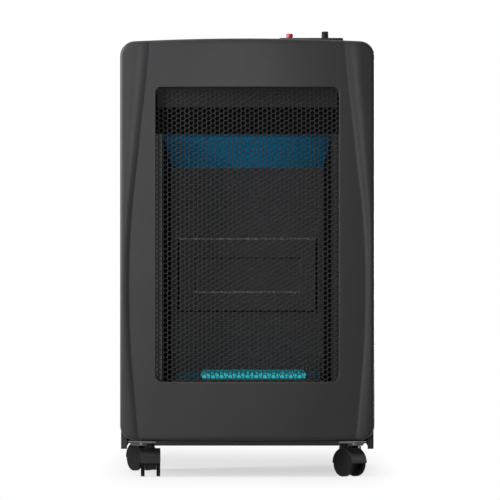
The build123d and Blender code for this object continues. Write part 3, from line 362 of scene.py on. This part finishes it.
edge_width = {
    "control_knob": 0.0007,
    "igniter_button": 0.0012,
    "control_deck": 0.0006,
    "firebox_back": 0.0010,
    "base_plate": 0.0003,
}
FLANGE_FACE, FLANGE_BACK = -0.1758, -0.1745  # depths of the firebox's front flanges; behind them the sides get painted shade
BAY_SIDE, FIREBOX_SIDE = -0.100, -0.112  # depths behind and before the heat shield
PIPE_SOOT = (0.02, 0.02, 0.021)
SHIELD_SOOT_AND_SHADE = (0.007, 0.007, 0.0075)
own_finish = {
    # the left flange is painted lighter than the right, for the light that the window's lip keeps off it
    "firebox_side_left": one_sided(
        "flange_left_painted_lighter", (0.17, 0.17, 0.173), "depth", FLANGE_FACE, FLANGE_BACK
    ),
    "firebox_side_right": one_sided(
        "flange_right", (0.055, 0.055, 0.057), "depth", FLANGE_FACE, FLANGE_BACK
    ),
    "firebox_back": pressed("pressed_steel", (0.056, 0.057, 0.059)),
    "burner_shelf": heat_coated("shelf_steel", (0.009, 0.009, 0.0095), spec=0.03),
    "gas_injector": rolled("sooted_brass", (0.05, 0.038, 0.024), 0.5, (14.0, 1.0, 1.0)),
    # the shield's front face is near black: soot and painted shade for the dark space above the firebox;
    # its back face is plain
    "heat_shield": one_sided(
        "shield_steel", (0.11, 0.112, 0.115), "face", 0.5, -0.5, SHIELD_SOOT_AND_SHADE
    ),
    "pilot_pipe": one_sided(
        "pipe_in_soot", (0.6, 0.61, 0.63), "depth", BAY_SIDE, FIREBOX_SIDE, PIPE_SOOT, metal=1.0
    ),
    "upper_baffle": heat_coated("baffle_steel", (0.027, 0.027, 0.028)),
}
for name, node in frame["nodes"].items():
    dress(node, own_finish.get(name, finish[slot_of[name]]))
    soften(node, edge_width.get(name, PLAIN_EDGE))


def new_piece(name, verts, faces, body, slot, smooth=True):
    """A mesh piece in millimetres that rides on a body."""
    mesh = bpy.data.meshes.new(name)
    mesh.from_pydata([(x * MM, y * MM, z * MM) for x, y, z in verts], [], faces)
    mesh.update()
    if smooth:
        mesh.shade_smooth()
    obj = bpy.data.objects.new(name, mesh)
    scene.collection.objects.link(obj)
    mesh.materials.append(finish[slot])
    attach(obj, body)
    return obj


# ---- front panel: its outline is the solid's, and its wings and edges are fuller ---------------------
HALF = 211.75
NOSE = -195.0
BOTTOM = 60.7
CROWN = 729.5
CROWN_DROP = 5.6  # how far the crowned top edge falls at the sides
CORNER = 25.15
BOW = 2000.0  # radius of the middle of the front, in plan
PANEL_BACK = -160.0
WALL = 2.0
WING_RISE = 6.4
WING_SLOPE = 0.13  # fall of the wings outside their flank
FLANK_LEAST = 6.0
FLANK_SHARE = 0.45  # of the wing's width
EDGE = 6.0  # rounding of the outer edge
STATIONS = [  # height, half width between the creases
    (54.0, 179.8),
    (78.0, 182.3),
    (139.6, 188.2),
    (215.0, 194.1),
    (286.0, 196.7),
    (370.0, 196.2),
    (452.4, 190.9),
    (520.0, 183.2),
    (585.4, 176.4),
    (665.3, 167.3),
    (736.0, 161.0),
]
WINDOW_HALF = 152.75
WINDOW_BOTTOM = 158.0
WINDOW_TOP = 648.6
WINDOW_R_TOP = 9.0
WINDOW_R_BOTTOM = 12.0
WINDOW_MID = (WINDOW_TOP + WINDOW_BOTTOM) / 2
WINDOW_HALF_HEIGHT = (WINDOW_TOP - WINDOW_BOTTOM) / 2
LIP_BACK = -181.0
ROLL = 0.8  # rounding of the window's edge
RING = 6.0  # flat strip round the window
crown_radius = (HALF**2 + CROWN_DROP**2) / (2 * CROWN_DROP)
crown_centre = CROWN - crown_radius
corner_x = HALF - CORNER
corner_top_z = crown_centre + math.sqrt((crown_radius - CORNER) ** 2 - corner_x**2)
corner_bottom_z = BOTTOM + CORNER
crown_end_x = corner_x * (crown_radius - EDGE) / (crown_radius - CORNER)


def crease(z):
    """Half width between the creases at a height, on a smooth curve through the stations."""
    n = len(STATIONS)
    k = max(0, min(n - 2, sum(1 for s in STATIONS if s[0] < z) - 1))

    def slope(i):
        a, b = max(0, i - 1), min(n - 1, i + 1)
        return (STATIONS[b][1] - STATIONS[a][1]) / (STATIONS[b][0] - STATIONS[a][0])

    (z0, c0), (z1, c1) = STATIONS[k], STATIONS[k + 1]
    h = z1 - z0
    t = (z - z0) / h
    return (
        (2 * t**3 - 3 * t**2 + 1) * c0
        + (t**3 - 2 * t**2 + t) * h * slope(k)
        + (-2 * t**3 + 3 * t**2) * c1
        + (t**3 - t**2) * h * slope(k + 1)
    )


def front_y(x, z):
    """The moulded front's depth: bowed middle, then a wing that rises from each crease."""
    x = abs(x)
    c = crease(z)
    if x <= c:
        return NOSE + x * x / (2 * BOW)
    flank = FLANK_LEAST + FLANK_SHARE * (HALF - c)
    slope = WING_RISE / flank
    out = x - c
    near = min(out, flank)
    rise = slope * near - (slope + WING_SLOPE) * near**2 / (2 * flank)
    return NOSE + c * c / (2 * BOW) - rise + WING_SLOPE * (out - near)


def edge_top(x):
    """Upper edge of the flat of the front, one edge rounding inside the outline."""
    x = abs(x)
    if x < crown_end_x:
        return crown_centre + math.sqrt((crown_radius - EDGE) ** 2 - x * x)
    return corner_top_z + math.sqrt(max(0.0, (CORNER - EDGE) ** 2 - (x - corner_x) ** 2))


def edge_bottom(x):
    """Lower edge of the flat of the front."""
    x = abs(x)
    if x < corner_x:
        return BOTTOM + EDGE
    return corner_bottom_z - math.sqrt(max(0.0, (CORNER - EDGE) ** 2 - (x - corner_x) ** 2))


def outward(x, z, side):
    """Direction across the outline, in the plane of the front."""
    sx = math.copysign(1.0, x)
    if side == "column":
        return sx, 0.0
    if side == "top":
        if abs(x) < crown_end_x:
            d = Vector((x, z - crown_centre)).normalized()
        else:
            d = Vector((x - sx * corner_x, z - corner_top_z)).normalized()
        return d.x, d.y
    if abs(x) < corner_x:
        return 0.0, -1.0
    d = Vector((x - sx * corner_x, z - corner_bottom_z)).normalized()
    return d.x, d.y


WING_STEPS = 24
CREASE_IN, CREASE_OUT = 1.1, 1.0  # columns this far to each side of the crease keep it crisp
RING_X = WINDOW_HALF + RING
RING_BOTTOM = WINDOW_BOTTOM - RING
RING_TOP = WINDOW_TOP + RING
MIDDLE = 48
columns = [("wing", -j / WING_STEPS) for j in range(WING_STEPS, 0, -1)]
columns += [("near", -1.0), ("band", -1.0), ("inner", -1.0), ("band", -0.55), ("band", -0.2)]
columns += [("middle", -1 + 2 * j / MIDDLE) for j in range(MIDDLE + 1)]
columns += [("band", 0.2), ("band", 0.55), ("inner", 1.0), ("band", 1.0), ("near", 1.0)]
columns += [("wing", j / WING_STEPS) for j in range(1, WING_STEPS + 1)]


def column_x(column, z):
    """Where a column of vertices lies at a height."""
    kind, p = column
    side = math.copysign(1.0, p)
    c = crease(z)
    if kind == "middle":
        return p * RING_X
    if kind == "inner":
        return side * (c - CREASE_IN)
    if kind == "near":
        return side * (c + CREASE_OUT)
    if kind == "band":
        return side * (RING_X + (c - RING_X) * abs(p))
    share = math.sin(abs(p) * math.pi / 2)
    start = c + CREASE_OUT
    return side * (start + (HALF - EDGE - start) * share)


def settle(column, edge, z):
    """Height at which a column meets the edge, found from a first guess."""
    for _ in range(12):
        z = edge(column_x(column, z))
    return z


bottoms = [settle(c, edge_bottom, 70.0) for c in columns]
tops = [settle(c, edge_top, 720.0) for c in columns]
LOW, MID, HIGH = 16, 74, 12  # rows below, beside and above the window
rows = [("low", i / LOW) for i in range(LOW)]
rows += [("mid", i / MID) for i in range(MID)]
rows += [("high", i / HIGH) for i in range(HIGH + 1)]
verts = []
grid = []
for kind, share in rows:
    line = []
    for column, low, high in zip(columns, bottoms, tops):
        if kind == "low":
            z = low + (RING_BOTTOM - low) * share
        elif kind == "mid":
            z = RING_BOTTOM + (RING_TOP - RING_BOTTOM) * share
        else:
            z = RING_TOP + (high - RING_TOP) * share
        x = column_x(column, z)
        line.append(len(verts))
        verts.append((x, front_y(x, z), z))
    grid.append(line)
first = next(i for i, c in enumerate(columns) if c[0] == "middle")
last = first + MIDDLE
faces = []
for i in range(len(rows) - 1):
    for j in range(len(columns) - 1):
        if LOW <= i < LOW + MID and first <= j < last:
            continue
        faces.append((grid[i][j], grid[i][j + 1], grid[i + 1][j + 1], grid[i + 1][j]))


def add_ring(loop, targets):
    """Join a closed loop of vertices to a new one at these points."""
    start = len(verts)
    verts.extend(targets)
    fresh = list(range(start, start + len(targets)))
    n = len(loop)
    for k in range(n):
        faces.append((fresh[k], fresh[(k + 1) % n], loop[(k + 1) % n], loop[k]))
    return fresh


# outer edge: a rounded edge, then the wall back to the side panels
border = [(grid[0][j], "bottom") for j in range(len(columns))]
border += [(grid[i][-1], "column") for i in range(1, len(rows) - 1)]
border += [(grid[-1][j], "top") for j in range(len(columns) - 1, -1, -1)]
border += [(grid[i][0], "column") for i in range(len(rows) - 2, 0, -1)]
loop = [b[0] for b in border]
flat_edge = [(verts[v], outward(verts[v][0], verts[v][2], side)) for v, side in border]
EDGE_STEPS = 6
for step in range(1, EDGE_STEPS + 1):
    t = step / EDGE_STEPS
    targets = []
    for (x, y, z), (dx, dz) in flat_edge:
        outer_y = front_y(x + dx * EDGE, z + dz * EDGE)
        across = 2 * t * (1 - t) + t * t
        depth = (1 - t) ** 2 * y + 2 * t * (1 - t) * outer_y + t * t * (outer_y + EDGE)
        targets.append((x + dx * EDGE * across, depth, z + dz * EDGE * across))
    loop = add_ring(loop, targets)
for share in (0.4, 1.0):
    targets = []
    for (x, y, z), (dx, dz) in flat_edge:
        start_y = front_y(x + dx * EDGE, z + dz * EDGE) + EDGE
        targets.append((x + dx * EDGE, start_y + (PANEL_BACK - start_y) * share, z + dz * EDGE))
    loop = add_ring(loop, targets)


def window_point(x, z, grow):
    """The nearest point of the window's outline, grown by an offset."""
    radius = WINDOW_R_TOP if z > WINDOW_MID else WINDOW_R_BOTTOM
    kx = max(-(WINDOW_HALF - radius), min(WINDOW_HALF - radius, x))
    kz = max(WINDOW_BOTTOM + WINDOW_R_BOTTOM, min(WINDOW_TOP - WINDOW_R_TOP, z))
    d = Vector((x - kx, z - kz)).normalized()
    return kx + d.x * (radius + grow), kz + d.y * (radius + grow)


# window: a rolled edge, then the lip that turns back to the guard
hole = [grid[LOW][j] for j in range(first, last)]
hole += [grid[i][last] for i in range(LOW, LOW + MID)]
hole += [grid[LOW + MID][j] for j in range(last, first, -1)]
hole += [grid[i][first] for i in range(LOW + MID, LOW, -1)]
loop = hole[::-1]
around = [(verts[v][0], verts[v][2]) for v in loop]
for grow in (RING * 0.8, RING * 0.6, ROLL):
    targets = []
    for x, z in around:
        px, pz = window_point(x, z, grow)
        targets.append((px, front_y(px, pz), pz))
    loop = add_ring(loop, targets)
ROLL_STEPS = 5
for step in range(1, ROLL_STEPS + 1):
    a = step / ROLL_STEPS * math.pi / 2
    targets = []
    for x, z in around:
        px, pz = window_point(x, z, ROLL * (1 - math.sin(a)))
        targets.append((px, front_y(px, pz) + ROLL * (1 - math.cos(a)), pz))
    loop = add_ring(loop, targets)
for share in (0.5, 1.0):
    targets = []
    for x, z in around:
        px, pz = window_point(x, z, 0.0)
        start_y = front_y(px, pz) + ROLL
        targets.append((px, start_y + (LIP_BACK - start_y) * share, pz))
    loop = add_ring(loop, targets)

panel = new_piece("moulded_front", verts, faces, "cabinet", "anthracite_paint")
shell = panel.modifiers.new("wall", "SOLIDIFY")
shell.thickness = WALL * MM
shell.offset = -1.0
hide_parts("front_panel")


# ---- hexagonal guard: expanded metal, whose strands lean upwards ---------------------------------------
PITCH = 8.205  # hole to hole, up the sheet
COLUMN = 7.197  # column to column, across it
STRAND = 1.75  # width of the strands beside the holes
BRIDGE = 1.1  # width of those above and below
LEAN = 0.26
SHIFT_X = 0.36
SHIFT_Z = 0.73
GUARD_FRONT = -181.0
GUARD_BACK = -180.0
STRAND_PROUD = 0.1  # strands in front of the frame round them
BORDER = 9.0  # guard beyond the window
MESH_BORDER = 4.0  # middles of the outer holes beyond the window
cell = [(COLUMN * 2 / 3, 0.0), (COLUMN / 3, PITCH / 2), (-COLUMN / 3, PITCH / 2)]
cell += [(-x, -z) for x, z in cell]
opening = 1 - STRAND / PITCH
tall_opening = 1 - BRIDGE / PITCH
verts = []
faces = []
known = {}


def mesh_vertex(x, y, z):
    """Index of the vertex at a place, which neighbouring cells share."""
    key = (round(x * 100), round(y * 100), round(z * 100))
    if key not in known:
        known[key] = len(verts)
        verts.append((x, y, z))
    return known[key]


strand_y = GUARD_FRONT - STRAND_PROUD
columns_out = int((WINDOW_HALF + MESH_BORDER) / COLUMN) + 1
rows_out = int((WINDOW_HALF_HEIGHT + MESH_BORDER) / PITCH) + 1
for i in range(-columns_out, columns_out + 1):
    for j in range(-rows_out, rows_out + 1):
        x = SHIFT_X + i * COLUMN
        z = WINDOW_MID + SHIFT_Z + (j + 0.5 * (i % 2)) * PITCH
        if abs(x) > WINDOW_HALF + MESH_BORDER:
            continue
        if abs(z - WINDOW_MID) > WINDOW_HALF_HEIGHT + MESH_BORDER:
            continue
        rim_front = [mesh_vertex(x + dx, strand_y, z + dz) for dx, dz in cell]
        rim_back = [mesh_vertex(x + dx, GUARD_BACK, z + dz) for dx, dz in cell]
        lip = []
        wall = []
        for dx, dz in cell:
            lean = LEAN * dz / (PITCH / 2)
            hx, hz = x + dx * opening, z + dz * tall_opening
            lip.append(mesh_vertex(hx, strand_y - lean, hz))
            wall.append(mesh_vertex(hx, GUARD_BACK - lean, hz))
        for k in range(6):
            n = (k + 1) % 6
            faces.append((lip[k], lip[n], rim_front[n], rim_front[k]))
            faces.append((wall[k], wall[n], lip[n], lip[k]))
            faces.append((rim_back[k], rim_back[n], wall[n], wall[k]))
guard = new_piece("hexagonal_guard", verts, faces, "cabinet", "guard_paint", smooth=False)
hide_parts("front_guard")

# flat frame round the mesh, behind the lip of the window
FRAME_IN = 3.2  # inner edge of the frame beyond the window
FRAME_POINTS = 72
FRAME_FAR = 900.0  # its points are met along rays from this far out
JUST_OUTSIDE = 1.02  # of the window's box, from where the outline is looked for
section = [(BORDER, GUARD_FRONT), (FRAME_IN, GUARD_FRONT), (FRAME_IN, GUARD_BACK), (BORDER, GUARD_BACK)]
points = []
for grow, y in section:
    for k in range(FRAME_POINTS):
        a = 2 * math.pi * k / FRAME_POINTS
        dx, dz = math.cos(a) * FRAME_FAR, math.sin(a) * FRAME_FAR
        scale = min(WINDOW_HALF / max(abs(dx), 1e-6), WINDOW_HALF_HEIGHT / max(abs(dz), 1e-6))
        x, z = window_point(dx * scale * JUST_OUTSIDE, WINDOW_MID + dz * scale * JUST_OUTSIDE, grow)
        points.append((x, y, z))
ring_faces = []
for band in range(len(section)):
    for k in range(FRAME_POINTS):
        a = band * FRAME_POINTS
        b = (band + 1) % len(section) * FRAME_POINTS
        n = (k + 1) % FRAME_POINTS
        ring_faces.append((a + k, a + n, b + n, b + k))
new_piece("guard_frame", points, ring_faces, "cabinet", "guard_paint", smooth=False)


# ---- flames: a row of bright tongues in a low blue glow --------------------------------------------
BURNER_Y = -149.0
BURNER_TOP = 161.3
FLAME_LEFT, FLAME_RIGHT = -75.0, 95.5
HAZE_LEFT, HAZE_RIGHT = -118.0, 123.0
GLOW_STEP = 2.0
GLOW_SIDES = 14
GLOW_END = 7.0  # length over which a shell of gas closes in
TONGUES = 46
TONGUE_SIDES = 8
TONGUE_FOOT = 2.2
TONGUE_HEIGHT = 11.0
TONGUE = [(1.1, 0.0), (1.9, 1.6), (2.1, 3.6), (1.7, 6.0), (1.0, 8.2), (0.35, 10.0), (0.05, 11.0)]


def flame_material(name, rgb, strength, share):
    """Emission with a flicker of noise, mixed with clear air by a share."""
    mat = bpy.data.materials.new(name)
    mat.use_nodes = True
    nodes, links = mat.node_tree.nodes, mat.node_tree.links
    nodes.clear()
    out = nodes.new("ShaderNodeOutputMaterial")
    coords = nodes.new("ShaderNodeTexCoord")
    flicker = nodes.new("ShaderNodeTexNoise")
    flicker.inputs["Scale"].default_value = 260.0
    links.new(coords.outputs["Object"], flicker.inputs["Vector"])
    ramp = nodes.new("ShaderNodeValToRGB")
    for element, (place, level) in zip(ramp.color_ramp.elements, ((0.3, 0.75), (0.7, 1.2))):
        element.position = place
        element.color = (*[min(1.0, c * level) for c in rgb], 1.0)
    links.new(flicker.outputs["Fac"], ramp.inputs["Fac"])
    glow = nodes.new("ShaderNodeEmission")
    glow.inputs["Strength"].default_value = strength
    links.new(ramp.outputs["Color"], glow.inputs["Color"])
    if share == 1.0:
        links.new(glow.outputs["Emission"], out.inputs["Surface"])
        return mat
    clear = nodes.new("ShaderNodeBsdfTransparent")
    mix = nodes.new("ShaderNodeMixShader")
    mix.inputs["Fac"].default_value = share
    links.new(clear.outputs["BSDF"], mix.inputs[1])
    links.new(glow.outputs["Emission"], mix.inputs[2])
    links.new(mix.outputs["Shader"], out.inputs["Surface"])
    return mat


def glow_shell(name, x0, x1, half_y, half_z, material):
    """A long soft-ended shell of glowing gas that stands on the burner."""
    verts, faces = [], []
    count = int((x1 - x0) / GLOW_STEP)
    around = GLOW_SIDES
    for i in range(count + 1):
        x = x0 + (x1 - x0) * i / count
        taper = math.sqrt(max(0.02, min(1.0, (x - x0) / GLOW_END, (x1 - x) / GLOW_END)))
        flutter = 1 + 0.07 * math.sin(x * 0.93) * math.cos(x * 0.37)
        for m in range(around):
            a = 2 * math.pi * m / around
            z = BURNER_TOP + half_z * (1 + math.sin(a) * taper * (flutter if math.sin(a) > 0 else 1.0))
            verts.append((x, BURNER_Y + half_y * taper * math.cos(a), z))
    for i in range(count):
        for m in range(around):
            n = (m + 1) % around
            a = i * around
            faces.append((a + m, a + n, a + around + n, a + around + m))
    faces.append(tuple(range(around))[::-1])
    faces.append(tuple(count * around + m for m in range(around)))
    shell = new_piece(name, verts, faces, "cabinet", "burner_steel")
    dress(shell, material)


verts = []
faces = []
for k in range(TONGUES):
    centre = FLAME_LEFT + (FLAME_RIGHT - FLAME_LEFT) * k / (TONGUES - 1)
    tall = (0.82 if k % 2 else 1.0) + 0.12 * math.sin(k * 2.4) * math.cos(k * 1.1)
    lean = 0.9 * math.sin(k * 1.7)
    base = len(verts)
    for radius, height in TONGUE:
        for m in range(TONGUE_SIDES):
            a = 2 * math.pi * m / TONGUE_SIDES
            x = centre + radius * math.cos(a) + lean * height / TONGUE_HEIGHT
            z = BURNER_TOP + TONGUE_FOOT + height * tall
            verts.append((x, BURNER_Y + radius * math.sin(a), z))
    for ring in range(len(TONGUE) - 1):
        for m in range(TONGUE_SIDES):
            n = (m + 1) % TONGUE_SIDES
            low = base + ring * TONGUE_SIDES
            high = low + TONGUE_SIDES
            faces.append((low + m, low + n, high + n, high + m))
flames = new_piece("flames", verts, faces, "cabinet", "burner_steel")
dress(flames, flame_material("flame", (0.045, 0.60, 0.68), 1.1, 1.0))
glow = flame_material("glow", (0.002, 0.20, 0.22), 1.0, 0.42)
glow_shell("flame_glow", FLAME_LEFT - 3.0, FLAME_RIGHT + 3.0, 6.0, 8.4, glow)
haze = flame_material("haze", (0.0, 0.06, 0.10), 1.0, 0.14)
glow_shell("flame_haze", HAZE_LEFT, HAZE_RIGHT, 8.0, 7.0, haze)


# ---- light, floor and background -----------------------------------------------------------------------
def lamp(name, place, target, size, power):
    """A white rectangular lamp that faces a target."""
    data = bpy.data.lights.new(name, "AREA")
    data.shape = "RECTANGLE"
    data.size, data.size_y = size
    data.energy = power
    obj = bpy.data.objects.new(name, data)
    obj.location = place
    obj.rotation_euler = (Vector(target) - Vector(place)).to_track_quat("-Z", "Y").to_euler()
    scene.collection.objects.link(obj)


lamp("key", (-1.3, -0.62, 0.9), (0.0, -0.15, 0.42), (0.5, 1.2), 42.5)
lamp("strip", (-1.15, -2.3, 0.36), (0.15, -0.19, 0.45), (0.2, 0.7), 5.0)
lamp("front", (-0.03, -2.6, 0.62), (0.0, 0.0, 0.6), (0.3, 0.2), 7.0)
lamp("top", (-0.1, -0.4, 2.6), (0.0, 0.0, 0.0), (1.8, 1.8), 19.0)
lamp("back", (0.9, 2.3, 0.55), (0.0, 0.0, 0.4), (1.6, 0.8), 50.0)
lamp("rim", (1.8, 0.5, 0.5), (0.0, 0.0, 0.4), (0.8, 0.8), 12.0)


def seen_directly(nodes, links):
    """1 for camera, glossy and transmission rays, and 0 for the rays that carry light."""
    path = nodes.new("ShaderNodeLightPath")
    result = path.outputs["Is Camera Ray"]
    for kind in ("Is Glossy Ray", "Is Transmission Ray"):
        either = nodes.new("ShaderNodeMath")
        either.operation = "MAXIMUM"
        links.new(result, either.inputs[0])
        links.new(path.outputs[kind], either.inputs[1])
        result = either.outputs["Value"]
    return result


def ranged(nodes, links, value, low, high):
    """A value from 0 to 1, as one from low to high."""
    node = nodes.new("ShaderNodeMapRange")
    node.inputs["To Min"].default_value = low
    node.inputs["To Max"].default_value = high
    links.new(value, node.inputs["Value"])
    return node


WHITE = (1.0, 1.0, 1.0, 1.0)
WORLD_LIGHT = 0.05  # the world is white where it is seen, and gives this much light
PAPER_GREY = (0.5, 0.5, 0.5, 1.0)  # the floor near the heater: grey paper, a painted soft shadow in which the real shadow also shows
BOUNCE_GREY = (0.3, 0.3, 0.3, 1.0)
LEAST_WHITE = 0.5  # share of plain white in the floor beside the heater
world = bpy.data.worlds.new("studio")
scene.world = world
world.use_nodes = True
nodes, links = world.node_tree.nodes, world.node_tree.links
background = nodes["Background"]
background.inputs["Color"].default_value = WHITE
level = ranged(nodes, links, seen_directly(nodes, links), WORLD_LIGHT, 1.0)
links.new(level.outputs["Result"], background.inputs["Strength"])

bpy.ops.mesh.primitive_grid_add(x_subdivisions=4, y_subdivisions=4, size=12.0, location=(0, 0, 0))
floor = bpy.context.object
floor.name = "floor"
mat = bpy.data.materials.new("floor")
mat.use_nodes = True
nodes, links = mat.node_tree.nodes, mat.node_tree.links
nodes.clear()
out = nodes.new("ShaderNodeOutputMaterial")
coords = nodes.new("ShaderNodeTexCoord")
place = nodes.new("ShaderNodeSeparateXYZ")
links.new(coords.outputs["Object"], place.inputs["Vector"])


def reach(axis, middle, full, none):
    """1 up to a distance from the middle along an axis, and 0 beyond a second one."""
    away = nodes.new("ShaderNodeMath")
    away.operation = "SUBTRACT"
    away.inputs[1].default_value = middle
    links.new(place.outputs[axis], away.inputs[0])
    size = nodes.new("ShaderNodeMath")
    size.operation = "ABSOLUTE"
    links.new(away.outputs["Value"], size.inputs[0])
    fade = ranged(nodes, links, size.outputs["Value"], 1.0, 0.0)
    fade.interpolation_type = "SMOOTHSTEP"
    fade.inputs["From Min"].default_value = full
    fade.inputs["From Max"].default_value = none
    return fade.outputs["Result"]


# painted shadow: the floor turns to grey paper in a soft zone centred behind the heater, lit or not
painted_shadow_zone = nodes.new("ShaderNodeMath")
painted_shadow_zone.operation = "MULTIPLY"
links.new(reach("X", 0.0, 0.14, 0.27), painted_shadow_zone.inputs[0])
links.new(reach("Y", 0.5, 0.0, 1.5), painted_shadow_zone.inputs[1])
white_share = ranged(nodes, links, painted_shadow_zone.outputs["Value"], 1.0, LEAST_WHITE)
lit = nodes.new("ShaderNodeEmission")
lit.inputs["Color"].default_value = WHITE
paper = nodes.new("ShaderNodeBsdfDiffuse")
paper.inputs["Color"].default_value = PAPER_GREY
bounce = nodes.new("ShaderNodeBsdfDiffuse")
bounce.inputs["Color"].default_value = BOUNCE_GREY
white = nodes.new("ShaderNodeMixShader")
links.new(white_share.outputs["Result"], white.inputs["Fac"])
links.new(paper.outputs["BSDF"], white.inputs[1])
links.new(lit.outputs["Emission"], white.inputs[2])
mix = nodes.new("ShaderNodeMixShader")
links.new(seen_directly(nodes, links), mix.inputs["Fac"])
links.new(bounce.outputs["BSDF"], mix.inputs[1])
links.new(white.outputs["Shader"], mix.inputs[2])
links.new(mix.outputs["Shader"], out.inputs["Surface"])
dress(floor, mat)
